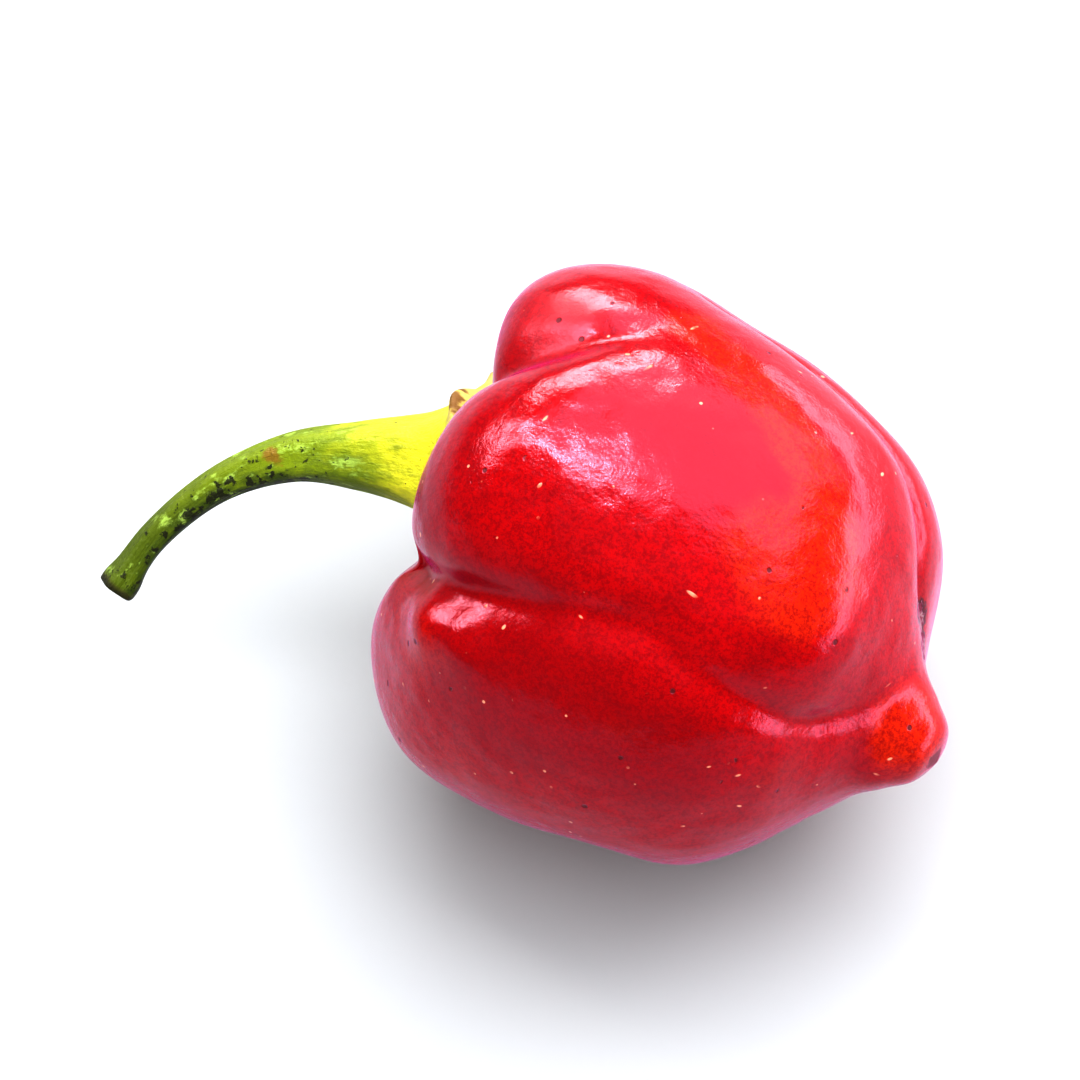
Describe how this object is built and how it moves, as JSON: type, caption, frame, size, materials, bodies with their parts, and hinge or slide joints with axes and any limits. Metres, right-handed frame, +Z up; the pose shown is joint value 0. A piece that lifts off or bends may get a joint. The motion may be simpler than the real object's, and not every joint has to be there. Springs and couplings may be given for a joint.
{
  "type": "chilli pepper",
  "caption": "Ripe lantern-shaped chilli pepper lying on its side, with deep lobes, a blunt nipple at the tip and a curved green stem.",
  "frame": {"origin": "middle of the bounding box at the surface that the pepper lies on", "axes": "+X along the pod from the stem end to the tip, +Z up as the pepper lies"},
  "size_m": [0.0646, 0.0422, 0.0424],
  "materials": {
    "pod_skin": "glossy waxy skin, red with orange and crimson mottling",
    "stem_green": "matt, yellow-green with dark specks"
  },
  "bodies": {
    "root": {"pod": "pod_skin", "stem": "stem_green"}
  },
  "joints": []
}
